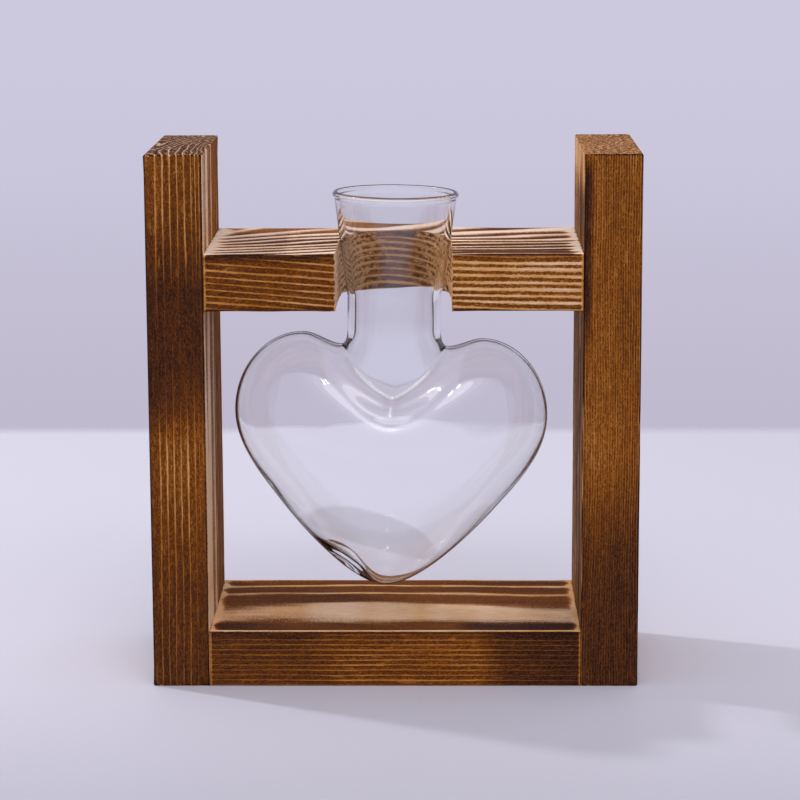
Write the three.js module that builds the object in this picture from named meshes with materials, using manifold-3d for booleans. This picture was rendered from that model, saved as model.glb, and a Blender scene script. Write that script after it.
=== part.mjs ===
// Hydroponic vase stand: a charred pine frame with a heart-shaped glass vase hung in its crossbar.
// Millimetres, +Z up, front towards -Y. The origin is the middle of the frame's underside.
import * as THREE from 'three';
import { ParametricGeometry } from 'three/addons/geometries/ParametricGeometry.js';
import { mergeVertices } from 'three/addons/utils/BufferGeometryUtils.js';
import Module from 'manifold-3d';

// Driving dimensions of the boards: all four are cut from one planed stock
const BOARD_THICKNESS = 17.6;
const BOARD_WIDTH = 64;
const EASED_EDGE = 0.6;
const UPRIGHT_ABOVE_CROSSBAR = 30;
const GLUE_LINE = 0.1;

// Driving dimensions of the notch that the neck hangs in
const NOTCH_WIDTH = 35.2;
const NECK_CLEARANCE = 0.25;

// Driving dimensions of the blind dowels, two in each butt joint
const DOWEL_DIAMETER = 6;
const DOWEL_IN_RAIL = 19;
const WOOD_OVER_DOWEL = 6.6;
const DOWEL_SPACING = 32;
const DOWEL_POINT = 0.8;
const DOWEL_CLEARANCE = 0.3;

// Driving dimensions of the glass: the neck
const NECK_TAPER = 2.6;
const NECK_FLARE = 1.25;
const NECK_WALL = 2.3;
const LIP_STEP = 1.1;
const LIP_ABOVE_CROSSBAR = 15.4;
const SHOULDER_FILLET = 4.4;

// Driving dimensions of the glass: the heart
const HEART_WIDTH = 98.6;
const HEART_HEIGHT = 80.6;
const HEART_DEPTH = 50;
const HEART_WALL = 1;
const SHOULDER_DIP = 3.2;
const DIP_BESIDE_NECK = 2.1;
const CLEFT_BELOW_LOBES = 17;
const CLEFT_SLOPE = THREE.MathUtils.degToRad(25);

// The gather is the thick drop of glass left beside the tip when the vase is sealed
const GATHER_THICKNESS = 4.4;
const GATHER_REACH = 7;
const GATHER_FROM_TIP = 14;

// Gaps between the hanging vase and the frame
const LOBE_BELOW_CROSSBAR = 12.4;
const TIP_ABOVE_RAIL = 6.8;
const HEART_TO_UPRIGHT = 8.1;

// Lean of the neck in its notch, and of the blown heart from the line of its neck
const NECK_LEAN = THREE.MathUtils.degToRad(0.8);
const HEART_LEAN = THREE.MathUtils.degToRad(1.6);
const LEAN_AXIS = new THREE.Vector3(0, 1, 0);

// Facets of the curved surfaces
const AROUND_VASE = 44;
const AROUND_NOTCH = 24;
const AROUND_DOWEL = 16;
const AROUND_LIP = 7;
const NECK_STEPS = [1, 2, 1];
const HEART_STEPS = [4, 4, 6, 5, 7];

// Points of the heart seen from the front and from the side, from the lobe to the tip: each is a share
// of the half width or half depth, and of the height above the tip. Handles shape the curve between points
const FRONT_VIEW = {
  lobe: [0.574, 1],
  lobeHandle: [0.799, 1],
  widestUpperHandle: [1, 0.865],
  widest: [1, 0.694],
  widestLowerHandle: [1, 0.554],
  flankUpperHandle: [0.833, 0.441],
  flank: [0.709, 0.345],
  flankLowerHandle: [0.528, 0.204],
  tipHandle: [0.203, 0],
};
const SIDE_VIEW = {
  breastUpperHandle: [0.748, 0.728],
  breast: [0.84, 0.696],
  breastLowerHandle: [0.959, 0.654],
  fullestUpperHandle: [1, 0.575],
  fullest: [1, 0.5],
  fullestLowerHandle: [1, 0.405],
  flankUpperHandle: [0.832, 0.281],
  flank: [0.7, 0.219],
  flankLowerHandle: [0.524, 0.137],
  tipHandle: [0.28, 0],
};

// Sizes that follow from the driving dimensions
const openingWidth = HEART_WIDTH + 2 * HEART_TO_UPRIGHT;
const railLength = openingWidth - 2 * GLUE_LINE;
const tipHeight = BOARD_THICKNESS + TIP_ABOVE_RAIL;
const lobeHeight = tipHeight + HEART_HEIGHT;
const crossbarBottom = lobeHeight + LOBE_BELOW_CROSSBAR;
const crossbarTop = crossbarBottom + BOARD_THICKNESS;
const uprightHeight = crossbarTop + UPRIGHT_ABOVE_CROSSBAR;
const notchRadius = NOTCH_WIDTH / 2;
const dowelRadius = DOWEL_DIAMETER / 2;
const dowelInUpright = BOARD_THICKNESS - WOOD_OVER_DOWEL;
const dowelLength = dowelInUpright + DOWEL_IN_RAIL;
const dowelMiddle = openingWidth / 2 + (dowelInUpright - DOWEL_IN_RAIL) / 2;
const seatRadius = notchRadius - NECK_CLEARANCE;
const tubeRadius = seatRadius - NECK_TAPER;
const shoulderHeight = lobeHeight - SHOULDER_DIP + SHOULDER_FILLET;
const lipRadius = (NECK_WALL + LIP_STEP) / 2;

const SIDES = { left: -1, right: 1 };
const ROWS = { front: -1, back: 1 };

const CHARRED = { color: 0x6f431f, roughness: 0.62, metalness: 0 };
const BEECH = { color: 0xc9a878, roughness: 0.7, metalness: 0 };
const GLASS = { color: 0xe9ecf2, roughness: 0.04, metalness: 0, transparent: true, opacity: 0.35 };

const wasm = await Module();
wasm.setup();

// Point of a half outline, by its distance from the axis and its place along it
const at = (radius, along) => new THREE.Vector2(radius, along);

// A closed geometry as a solid that can be cut
function solidOf(geometry) {
  const bare = geometry.clone();
  bare.deleteAttribute('normal');
  bare.deleteAttribute('uv');
  const merged = mergeVertices(bare);
  return new wasm.Manifold(new wasm.Mesh({
    numProp: 3,
    vertProperties: merged.attributes.position.array,
    triVerts: Uint32Array.from(merged.index.array),
  }));
}

function geometryOf(solid) {
  const mesh = solid.getMesh();
  const geometry = new THREE.BufferGeometry();
  geometry.setAttribute('position', new THREE.BufferAttribute(mesh.vertProperties, 3));
  geometry.setIndex(new THREE.BufferAttribute(mesh.triVerts, 1));
  geometry.computeVertexNormals();
  return geometry;
}

function named(name, geometry, finish) {
  const mesh = new THREE.Mesh(geometry, new THREE.MeshStandardMaterial(finish));
  mesh.name = name;
  return mesh;
}

// Rectangle round the origin with its corners cut off at 45 degrees
function easedRectangle(width, height) {
  const x = width / 2;
  const y = height / 2;
  const e = EASED_EDGE;
  const shape = new THREE.Shape();
  shape.moveTo(x - e, -y);
  shape.lineTo(x, e - y);
  shape.lineTo(x, y - e);
  shape.lineTo(x - e, y);
  shape.lineTo(e - x, y);
  shape.lineTo(-x, y - e);
  shape.lineTo(-x, e - y);
  shape.lineTo(e - x, -y);
  return shape;
}

// Extrusion up from z = 0, with its end edges eased
function easedExtrusion(shape, height) {
  return new THREE.ExtrudeGeometry(shape, {
    depth: height - 2 * EASED_EDGE,
    curveSegments: AROUND_NOTCH,
    bevelThickness: EASED_EDGE,
    bevelSize: EASED_EDGE,
    bevelOffset: -EASED_EDGE,
    bevelSegments: 1,
  }).translate(0, 0, EASED_EDGE);
}

// Each dowel's place: the rail that it holds, its side, its row and its middle
function dowelPlaces() {
  const heights = { base_rail: BOARD_THICKNESS / 2, crossbar: crossbarBottom + BOARD_THICKNESS / 2 };
  const places = [];
  for (const [rail, height] of Object.entries(heights)) {
    for (const [side, across] of Object.entries(SIDES)) {
      for (const [row, along] of Object.entries(ROWS)) {
        const middle = new THREE.Vector3(across * dowelMiddle, along * DOWEL_SPACING / 2, height);
        places.push({ name: `${rail}_dowel_${side}_${row}`, rail, side, middle });
      }
    }
  }
  return places;
}

// Dowel along X with pointed ends, turned from its half outline
function dowelGeometry() {
  const end = dowelLength / 2;
  const outline = [
    at(0, -end),
    at(dowelRadius - DOWEL_POINT, -end),
    at(dowelRadius, DOWEL_POINT - end),
    at(dowelRadius, end - DOWEL_POINT),
    at(dowelRadius - DOWEL_POINT, end),
    at(0, end),
  ];
  return closed(new THREE.LatheGeometry(outline, AROUND_DOWEL)).rotateZ(Math.PI / 2);
}

// Board with the holes of its dowels bored out
function boredBoard(geometry, dowels) {
  const radius = dowelRadius + DOWEL_CLEARANCE;
  const length = dowelLength + 2 * DOWEL_CLEARANCE;
  let solid = solidOf(geometry);
  for (const { middle } of dowels) {
    const hole = new THREE.CylinderGeometry(radius, radius, length, AROUND_DOWEL).rotateZ(Math.PI / 2);
    solid = solid.subtract(solidOf(hole.translate(middle.x, middle.y, middle.z)));
  }
  return geometryOf(solid);
}

// Upright: the board's section carried up from the ground, with all its edges eased
function uprightGeometry(side) {
  const middle = (openingWidth + BOARD_THICKNESS) / 2;
  const section = easedRectangle(BOARD_THICKNESS, BOARD_WIDTH);
  return easedExtrusion(section, uprightHeight).translate(side * middle, 0, 0);
}

// Bottom rail: the board's section carried from one upright to the other
function baseRailGeometry() {
  const section = easedRectangle(BOARD_THICKNESS, BOARD_WIDTH);
  const rail = new THREE.ExtrudeGeometry(section, { depth: railLength, bevelEnabled: false });
  return rail.rotateY(Math.PI / 2).translate(-railLength / 2, 0, BOARD_THICKNESS / 2);
}

// Crossbar: the plan of the board with a round-ended notch open to the front, cut square at its ends
function crossbarGeometry() {
  const end = railLength / 2 + 2 * EASED_EDGE;
  const front = -BOARD_WIDTH / 2;
  const plan = new THREE.Shape();
  plan.moveTo(-end, front);
  plan.lineTo(-notchRadius, front);
  plan.lineTo(-notchRadius, 0);
  plan.absarc(0, 0, notchRadius, Math.PI, 0, true);
  plan.lineTo(notchRadius, front);
  plan.lineTo(end, front);
  plan.lineTo(end, -front);
  plan.lineTo(-end, -front);
  const long = easedExtrusion(plan, BOARD_THICKNESS).translate(0, 0, crossbarBottom);
  const between = new THREE.BoxGeometry(railLength, 2 * BOARD_WIDTH, 2 * uprightHeight);
  return geometryOf(solidOf(long).intersect(solidOf(between)));
}

// Merges the seam and the poles of a turned or lofted skin and leaves out the faces that vanish there
function closed(geometry) {
  geometry.deleteAttribute('normal');
  geometry.deleteAttribute('uv');
  const merged = mergeVertices(geometry);
  const faces = [];
  for (let i = 0; i < merged.index.count; i += 3) {
    const [a, b, c] = [0, 1, 2].map((corner) => merged.index.getX(i + corner));
    if (a !== b && b !== c && c !== a) faces.push(a, b, c);
  }
  merged.setIndex(faces);
  merged.computeVertexNormals();
  return merged;
}

const line = (from, to) => new THREE.LineCurve(from, to);
const curve = (...points) => new THREE.CubicBezierCurve(...points);

// The neck's outside, from under the lip to the shoulder, round on every side
function neckCurves() {
  const underLip = at(seatRadius + NECK_FLARE, crossbarTop + LIP_ABOVE_CROSSBAR - 2 * lipRadius);
  const seat = at(seatRadius, crossbarTop);
  const tube = at(tubeRadius, crossbarBottom);
  return [line(underLip, seat), line(seat, tube), line(tube, at(tubeRadius, shoulderHeight))];
}

// A view's points as real points, by its half size and the heart's height above the tip
function heartPoints(view, half) {
  const real = ([across, up]) => at(half * across, tipHeight + HEART_HEIGHT * up);
  return Object.fromEntries(Object.entries(view).map(([name, share]) => [name, real(share)]));
}

// Half of the heart seen from the front: shoulder dip, round lobe, flank and tip
function sideCurves() {
  const heart = heartPoints(FRONT_VIEW, HEART_WIDTH / 2);
  const shoulder = at(tubeRadius, shoulderHeight);
  const dip = at(tubeRadius + DIP_BESIDE_NECK, lobeHeight - SHOULDER_DIP);
  const fillet = DIP_BESIDE_NECK / 2;
  const rise = (heart.lobe.x - dip.x) / 3;
  return [
    curve(shoulder, at(shoulder.x, dip.y + fillet), at(dip.x - fillet, dip.y), dip),
    curve(dip, at(dip.x + rise, dip.y), at(heart.lobe.x - rise, heart.lobe.y), heart.lobe),
    curve(heart.lobe, heart.lobeHandle, heart.widestUpperHandle, heart.widest),
    curve(heart.widest, heart.widestLowerHandle, heart.flankUpperHandle, heart.flank),
    curve(heart.flank, heart.flankLowerHandle, heart.tipHandle, at(0, tipHeight)),
  ];
}

// Half of the heart seen from the side: the neck runs on down to the cleft before the heart swells
function frontCurves() {
  const heart = heartPoints(SIDE_VIEW, HEART_DEPTH / 2);
  const shoulder = at(tubeRadius, shoulderHeight);
  const cleft = at(tubeRadius + DIP_BESIDE_NECK / 2, lobeHeight - CLEFT_BELOW_LOBES);
  const turn = at(Math.sin(CLEFT_SLOPE), -Math.cos(CLEFT_SLOPE)).multiplyScalar(DIP_BESIDE_NECK);
  const halfway = at(tubeRadius, (shoulder.y + cleft.y) / 2);
  return [
    curve(shoulder, halfway, cleft.clone().sub(turn), cleft),
    curve(cleft, cleft.clone().add(turn), heart.breastUpperHandle, heart.breast),
    curve(heart.breast, heart.breastLowerHandle, heart.fullestUpperHandle, heart.fullest),
    curve(heart.fullest, heart.fullestLowerHandle, heart.flankUpperHandle, heart.flank),
    curve(heart.flank, heart.flankLowerHandle, heart.tipHandle, at(0, tipHeight)),
  ];
}

// Normal of a curve that runs down the outside of the glass
function outward(profile, t) {
  const tangent = profile.getTangent(t);
  return at(-tangent.y, tangent.x);
}

// Rings of the glass from under the lip to the tip, each with the wall and the lean that it has there
function vaseRings() {
  const neck = neckCurves();
  const sides = [...neck, ...sideCurves()];
  const fronts = [...neck, ...frontCurves()];
  const rings = [];
  [...NECK_STEPS, ...HEART_STEPS].forEach((count, part) => {
    for (let step = part === 0 ? 0 : 1; step <= count; step += 1) {
      const t = step / count;
      const heart = THREE.MathUtils.smoothstep(part + t, neck.length, neck.length + 2);
      rings.push({
        side: sides[part].getPoint(t),
        sideNormal: outward(sides[part], t),
        front: fronts[part].getPoint(t),
        frontNormal: outward(fronts[part], t),
        wall: THREE.MathUtils.lerp(NECK_WALL, HEART_WALL, heart),
        lean: HEART_LEAN * heart,
      });
    }
  });
  return rings;
}

// A ring is an ellipse in plan whose height swings between the side profile and the front profile
function onRing(side, front, angle) {
  const c = Math.cos(angle);
  const s = Math.sin(angle);
  return new THREE.Vector3(side.x * c, front.x * s, side.y * c * c + front.y * s * s);
}

// Point of the glass on its outside, or on its inside after the wall and the gather are taken off
function glassPoint(ring, angle, inside) {
  const point = onRing(ring.side, ring.front, angle);
  if (inside) {
    const gather = new THREE.Vector3(-GATHER_FROM_TIP, 0, tipHeight + GATHER_FROM_TIP / 2);
    const drop = GATHER_THICKNESS * Math.exp(-point.distanceToSquared(gather) / GATHER_REACH ** 2);
    point.addScaledVector(onRing(ring.sideNormal, ring.frontNormal, angle), -(ring.wall + drop));
  }
  const shoulder = new THREE.Vector3(0, 0, lobeHeight);
  return point.sub(shoulder).applyAxisAngle(LEAN_AXIS, ring.lean).add(shoulder);
}

// Rolled lip: a round bead from the outside of the neck over the top to its inside
function lipPoint(turn, angle) {
  const middle = seatRadius + NECK_FLARE - NECK_WALL + lipRadius;
  const radius = middle + lipRadius * Math.cos(turn);
  const height = crossbarTop + LIP_ABOVE_CROSSBAR - lipRadius + lipRadius * Math.sin(turn);
  return new THREE.Vector3(radius * Math.cos(angle), radius * Math.sin(angle), height);
}

// The vase is one skin: up the outside from the tip, over the lip and down the inside of the hollow
function vaseGeometry() {
  const rings = vaseRings();
  const outside = rings.map((ring) => (angle) => glassPoint(ring, angle, false)).reverse();
  const inside = rings.map((ring) => (angle) => glassPoint(ring, angle, true));
  const lip = Array.from({ length: AROUND_LIP }, (_, step) => {
    const turn = THREE.MathUtils.lerp(-Math.PI / 4, Math.PI, step / (AROUND_LIP - 1));
    return (angle) => lipPoint(turn, angle);
  });
  const loop = [...outside, ...lip, ...inside];
  const last = loop.length - 1;
  const skin = (u, v, target) => target.copy(loop[Math.round(v * last)](2 * Math.PI * u));
  return closed(new ParametricGeometry(skin, AROUND_VASE, last));
}

const stand = new THREE.Group();
const dowels = dowelPlaces();
for (const [side, across] of Object.entries(SIDES)) {
  const own = dowels.filter((dowel) => dowel.side === side);
  stand.add(named(`${side}_upright`, boredBoard(uprightGeometry(across), own), CHARRED));
}
for (const [name, geometry] of [['base_rail', baseRailGeometry()], ['crossbar', crossbarGeometry()]]) {
  const own = dowels.filter((dowel) => dowel.rail === name);
  stand.add(named(name, boredBoard(geometry, own), CHARRED));
}
for (const { name, middle } of dowels) {
  const dowel = named(name, dowelGeometry(), BEECH);
  dowel.position.copy(middle);
  stand.add(dowel);
}

// The vase hangs in the notch, turned about the seat of its neck
const hangingVase = new THREE.Group();
hangingVase.position.z = crossbarTop;
hangingVase.rotation.y = NECK_LEAN;
const vase = named('heart_vase', vaseGeometry(), GLASS);
vase.position.z = -crossbarTop;
hangingVase.add(vase);
stand.add(hangingVase);

export default stand;
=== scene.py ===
import bmesh
import bpy
import numpy as np
from bpy.props import FloatProperty, FloatVectorProperty, IntProperty, PointerProperty
from mathutils import Matrix, Vector


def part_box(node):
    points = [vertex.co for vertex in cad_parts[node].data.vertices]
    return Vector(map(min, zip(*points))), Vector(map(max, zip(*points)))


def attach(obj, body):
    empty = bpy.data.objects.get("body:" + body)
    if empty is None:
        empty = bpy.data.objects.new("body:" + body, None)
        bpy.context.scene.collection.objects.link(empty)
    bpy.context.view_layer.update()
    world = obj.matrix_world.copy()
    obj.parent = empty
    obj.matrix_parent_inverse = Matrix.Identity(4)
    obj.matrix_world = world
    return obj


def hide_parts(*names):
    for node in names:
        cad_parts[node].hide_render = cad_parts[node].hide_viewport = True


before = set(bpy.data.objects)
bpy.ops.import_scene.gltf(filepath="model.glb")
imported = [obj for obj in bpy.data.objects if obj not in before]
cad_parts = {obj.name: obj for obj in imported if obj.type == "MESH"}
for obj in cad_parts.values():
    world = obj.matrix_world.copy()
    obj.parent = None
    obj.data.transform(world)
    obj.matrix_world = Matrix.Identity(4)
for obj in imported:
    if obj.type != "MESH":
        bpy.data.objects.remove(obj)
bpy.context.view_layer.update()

bl_info = {
    "name": "Hydroponic Vase Stand",
    "version": (1, 0, 0),
    "blender": (4, 5, 0),
    "location": "View3D > Sidebar > Vase Stand",
    "description": "Charred pine frame with a heart-shaped vase of blown glass in its crossbar",
    "category": "Object",
}

MM = 0.001

LEFT_BOX = np.array(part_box("left_upright"))
RIGHT_BOX = np.array(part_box("right_upright"))
RAIL_BOX = np.array(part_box("base_rail"))
BAR_BOX = np.array(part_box("crossbar"))
BAR_BOTTOM, BAR_TOP = BAR_BOX[:, 2]
BOARD_THICKNESS = BAR_TOP - BAR_BOTTOM
FRONT = BAR_BOX[0, 1]
RAIL_END, _, RAIL_TOP = RAIL_BOX[1]


def linear(red, green, blue):
    """Linear colour of a display colour given in steps of 255."""
    display = np.array([red, green, blue]) / 255.0
    return tuple(np.where(display <= 0.04045, display / 12.92, ((display + 0.055) / 1.055) ** 2.4))


# Shading: sockets that take part in Python arithmetic


class Socket:
    """A shader socket with a number on it: each arithmetic operator adds one Math node."""

    def __init__(self, shading, socket):
        self.shading = shading
        self.socket = socket

    def math(self, operation, *values):
        inputs = dict(enumerate(values))
        return self.shading.node("ShaderNodeMath", {"operation": operation}, inputs)

    def __add__(self, other):
        return self.math("ADD", self, other)

    def __radd__(self, other):
        return self.math("ADD", other, self)

    def __sub__(self, other):
        return self.math("SUBTRACT", self, other)

    def __rsub__(self, other):
        return self.math("SUBTRACT", other, self)

    def __mul__(self, other):
        return self.math("MULTIPLY", self, other)

    def __rmul__(self, other):
        return self.math("MULTIPLY", other, self)

    def __truediv__(self, other):
        return self.math("DIVIDE", self, other)

    def __abs__(self):
        return self.math("ABSOLUTE", self)

    def fraction(self):
        return self.math("FRACT", self)

    def floor(self):
        return self.math("FLOOR", self)

    def clamped(self):
        return self.shading.node("ShaderNodeClamp", {}, {"Value": self})

    def step(self, start, stop):
        """Smooth step from 0 at start to 1 at stop."""
        settings = {"interpolation_type": "SMOOTHSTEP"}
        inputs = {"Value": self, "From Min": start, "From Max": stop}
        return self.shading.node("ShaderNodeMapRange", settings, inputs)


class Shading:
    """The node tree of one material or world, filled by its node method."""

    def __init__(self, owner):
        owner.use_nodes = True
        self.tree = owner.node_tree
        self.tree.nodes.clear()

    def node(self, kind, settings, inputs, output=0):
        """Add a node, set its settings, fill its sockets with values or links, and give one output."""
        node = self.tree.nodes.new(kind)
        for name, value in settings.items():
            if name == "stops":
                self.fill_ramp(node.color_ramp, value)
            else:
                setattr(node, name, value)
        for key, value in inputs.items():
            socket = self.find(node.inputs, key)
            if isinstance(value, Socket):
                self.tree.links.new(value.socket, socket)
            else:
                socket.default_value = value
        return Socket(self, self.find(node.outputs, output)) if node.outputs else None

    @staticmethod
    def find(sockets, key):
        if isinstance(key, int):
            return sockets[key]
        for socket in sockets:
            if socket.enabled and key in (socket.identifier, socket.name):
                return socket
        raise KeyError(key)

    @staticmethod
    def fill_ramp(ramp, stops):
        while len(ramp.elements) < len(stops):
            ramp.elements.new(1.0)
        for element, (position, colour) in zip(ramp.elements, stops):
            element.position = position
            element.color = (*colour, 1.0)

    def attribute(self, name, output="Fac"):
        return self.node("ShaderNodeAttribute", {"attribute_name": name}, {}, output)

    def stretched(self, vector, scale):
        return self.node("ShaderNodeVectorMath", {"operation": "MULTIPLY"}, {0: vector, 1: scale})

    def noise(self, vector, scale, detail=3.0, roughness=0.55):
        inputs = {
            "Vector": self.stretched(vector, scale),
            "Scale": 1.0,
            "Detail": detail,
            "Roughness": roughness,
        }
        return self.node("ShaderNodeTexNoise", {}, inputs)

    def ramp(self, value, stops):
        return self.node("ShaderNodeValToRGB", {"stops": stops}, {"Fac": value})

    def mix(self, factor, first, second, blend="MIX"):
        settings = {"data_type": "RGBA", "blend_type": blend}
        inputs = {"Factor_Float": factor, "A_Color": first, "B_Color": second}
        return self.node("ShaderNodeMix", settings, inputs, "Result_Color")

    def grey(self, value):
        inputs = {"Red": value, "Green": value, "Blue": value}
        return self.node("ShaderNodeCombineColor", {}, inputs)

    def principled(self, inputs):
        return self.node("ShaderNodeBsdfPrincipled", {}, inputs)

    def mix_shaders(self, factor, first, second):
        return self.node("ShaderNodeMixShader", {}, {0: factor, 1: first, 2: second})

    def finish(self, surface, kind="ShaderNodeOutputMaterial"):
        self.node(kind, {}, {"Surface": surface})


# Meshes from whole arrays


def grid_faces(rows, columns, closed=False):
    """Quads between the rows and columns of a grid; a closed grid joins its last column to its first."""
    row = np.arange(rows - 1)[:, None] * columns
    column = np.arange(columns if closed else columns - 1)[None, :]
    following = (column + 1) % columns
    corners = (row + column, row + following, row + columns + following, row + columns + column)
    return np.stack(corners, axis=-1).reshape(-1, 4)


WELD = 0.002 * MM


def new_piece(name, grids, body, node_names):
    """Object of one or more grids of points, welded where they meet, facing outwards, riding on its body."""
    points, faces, count = [], [], 0
    for grid_points, closed in grids:
        rows, columns = grid_points.shape[:2]
        points.append(grid_points.reshape(-1, 3))
        faces.append(grid_faces(rows, columns, closed) + count)
        count += rows * columns
    mesh = bpy.data.meshes.new(name)
    mesh.from_pydata(np.concatenate(points), [], np.concatenate(faces).tolist())
    solid = bmesh.new()
    solid.from_mesh(mesh)
    bmesh.ops.remove_doubles(solid, verts=solid.verts, dist=WELD)
    bmesh.ops.dissolve_degenerate(solid, edges=solid.edges, dist=WELD / 10)
    bmesh.ops.recalc_face_normals(solid, faces=solid.faces)
    if solid.calc_volume(signed=True) < 0:
        bmesh.ops.reverse_faces(solid, faces=solid.faces)
    open_edges = sum(1 for edge in solid.edges if not edge.is_manifold)
    solid.to_mesh(mesh)
    solid.free()
    if open_edges:
        raise RuntimeError(f"{name} has {open_edges} open edges")
    mesh.shade_smooth()
    piece = bpy.data.objects.new(name, mesh)
    bpy.context.scene.collection.objects.link(piece)
    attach(piece, body)
    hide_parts(*node_names)
    return piece


def read_points(mesh):
    """Points and normals of a mesh, as rows of three."""
    points = np.empty(len(mesh.vertices) * 3)
    mesh.vertices.foreach_get("co", points)
    normals = np.empty(len(mesh.vertices) * 3)
    mesh.vertex_normals.foreach_get("vector", normals)
    return points.reshape(-1, 3), normals.reshape(-1, 3)


def write_attribute(mesh, name, values):
    """Give each point of a mesh its own number or vector, for the materials to read."""
    kind, field = ("FLOAT", "value") if values.ndim == 1 else ("FLOAT_VECTOR", "vector")
    layer = mesh.attributes.new(name, kind, "POINT")
    layer.data.foreach_set(field, values.astype(np.float32).ravel())


# Wood: boards, growth rings and the torch's marks

AROUND_ARRIS = 4
END_TURN = np.radians(80)
FACES = {"front": (0, -1, 0), "left": (-1, 0, 0), "right": (1, 0, 0), "top": (0, 0, 1)}


def smooth(value, start, stop):
    """Smooth step from 0 at start to 1 at stop."""
    share = np.clip((value - start) / (stop - start), 0.0, 1.0)
    return share * share * (3.0 - 2.0 * share)


def drift(points, seed, reach, waves=7):
    """Slow seeded variation between about -1 and 1: a mean of sine waves of random heading over the reach."""
    random = np.random.default_rng(seed)
    heading = random.normal(size=(3, waves)) * 2.0 / np.array(reach)[:, None]
    phase = random.uniform(0.0, 2.0 * np.pi, waves)
    return np.sin(points @ heading + phase).sum(axis=1) / np.sqrt(waves)


def section_loop(width, thickness, step):
    """Loop round a board's section as flat shares and arris arcs.

    Each side runs straight between its arrises, and each arris is a quarter circle. A point lies at
    share * (half size - ease) + arc * ease, so that the same loop serves a section of any size.
    """
    sides = np.array([(-1, 0), (0, 1), (1, 0), (0, -1)], dtype=float)
    counts = [int(round(thickness / step)), int(round(width / step))] * 2
    turn = np.linspace(0.0, np.pi / 2, AROUND_ARRIS + 1)[1:-1, None]
    shares, arcs = [], []
    for side, following, count in zip(sides, np.roll(sides, -1, axis=0), counts):
        run = np.linspace(-1.0, 1.0, count)[:, None]
        shares += [side + run * following, np.repeat([side + following], len(turn), axis=0)]
        arcs += [np.repeat([side], count, axis=0), side * np.cos(turn) + following * np.sin(turn)]
    return np.concatenate(shares), np.concatenate(arcs), counts


def share_along(side):
    """Share of the way along a side at each of its points, measured on its chord."""
    chord = side[-1] - side[0]
    return (side - side[0]) @ chord / (chord @ chord)


def end_cap(loop, counts):
    """Grid that fills a section's loop: its four sides blended across (a Coons patch).

    A point is its place between bottom and top, plus its place between front and back, less its place
    between the four corners.
    """
    loop = np.roll(loop, AROUND_ARRIS // 2, axis=0)
    starts = np.cumsum([0] + [count + AROUND_ARRIS - 1 for count in counts])
    front, top, back, bottom = (
        np.take(loop, np.arange(start, stop + 1), axis=0, mode="wrap")
        for start, stop in zip(starts, starts[1:])
    )
    back, bottom = back[::-1], bottom[::-1]
    rise = share_along(front)[:, None, None]
    run = share_along(top)[None, :, None]
    upwards = bottom[None] * (1 - rise) + top[None] * rise
    backwards = front[:, None] * (1 - run) + back[:, None] * run
    low = front[0] * (1 - run) + back[0] * run
    high = front[-1] * (1 - run) + back[-1] * run
    return upwards + backwards - low * (1 - rise) - high * rise


def ease_ends(outline, ease):
    """Straight outline with its ends drawn in along a quarter circle, and how far each point is drawn in."""
    turn = np.linspace(END_TURN, 0.0, AROUND_ARRIS + 1)
    drawn = ease * (1 - np.cos(turn))
    reach = ease * (1 - np.sin(turn) / np.sin(END_TURN))
    along = outline[:, 0]
    start, stop = along[0], along[-1]
    inner = along[(along > start + ease) & (along < stop - ease)]
    along = np.concatenate([start + reach, inner, stop - reach[::-1]])
    inset = np.concatenate([drawn, np.zeros(len(inner)), drawn[::-1]])
    return np.stack([along, np.full(len(along), outline[0, 1])], axis=1), inset


def board_grids(front, back, thickness, ease, step, eased_ends):
    """Grids of a closed board, in its own axes: along the grain, across the width, through the thickness.

    The section's loop is carried along the board from the outline of its front edge to that of its back
    edge. Eased ends draw the section in along a quarter circle, and a patch closes each end.
    """
    inset = np.zeros(len(front))
    if eased_ends:
        front, inset = ease_ends(front, ease)
        back = np.stack([front[:, 0], np.full(len(front), back[0, 1])], axis=1)
    middle, span = (front + back) / 2, back - front
    half = np.linalg.norm(span, axis=1) / 2
    heading = span / (2 * half[:, None])
    share, arc, counts = section_loop(2 * half.max(), thickness, step)
    flat = np.stack([half - ease, np.full(len(half), thickness / 2 - ease)], axis=1)
    section = share[None] * flat[:, None] + arc[None] * (ease - inset)[:, None, None]
    across = middle[:, None, :] + heading[:, None, :] * section[:, :, :1]
    tube = np.concatenate([across, section[:, :, 1:]], axis=2)
    return [(tube, True), (end_cap(tube[0], counts), False), (end_cap(tube[-1], counts), False)]


SLOW_WANDER = (70 * MM, 16 * MM, 16 * MM)
QUICK_WANDER = (16 * MM, 5 * MM, 5 * MM)
QUICK_SHARE = 0.3
CURL_REACH = (400 * MM, 22 * MM, 7 * MM)
CURL_STARTS, CURL_FULL = FRONT + 1 * MM, FRONT + 9 * MM


def ring_count(timber, grain):
    """Growth rings counted from the pith: distance over spacing, with a slope and a bend along the board.

    A slow wander and a quick one shift the rings, a curl shifts them behind the front face only, and each
    crowded place of (rings, start, stop) adds its rings between two places through the thickness.
    """
    along, across, through = grain.T
    seed = timber["seed"]
    rings = np.hypot(across - timber["pith"][0], through - timber["pith"][1]) / timber["spacing"]
    rings += timber["phase"] + timber["slope"] * along + timber["bend"] * along**2
    rings += timber["wander"] * drift(grain, seed, SLOW_WANDER)
    rings += timber["wander"] * QUICK_SHARE * drift(grain, seed + 1, QUICK_WANDER)
    rings += timber["curl"] * smooth(across, CURL_STARTS, CURL_FULL) * drift(grain, seed + 2, CURL_REACH)
    for extra, start, stop in timber["crowded"]:
        rings += extra * smooth(through, start, stop)
    return rings


def face_shares(normals):
    """How far each point faces front, left, right and up, from 0 to 1."""
    return {name: np.clip(normals @ np.array(way), 0.0, 1.0) ** 2 for name, way in FACES.items()}


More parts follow.
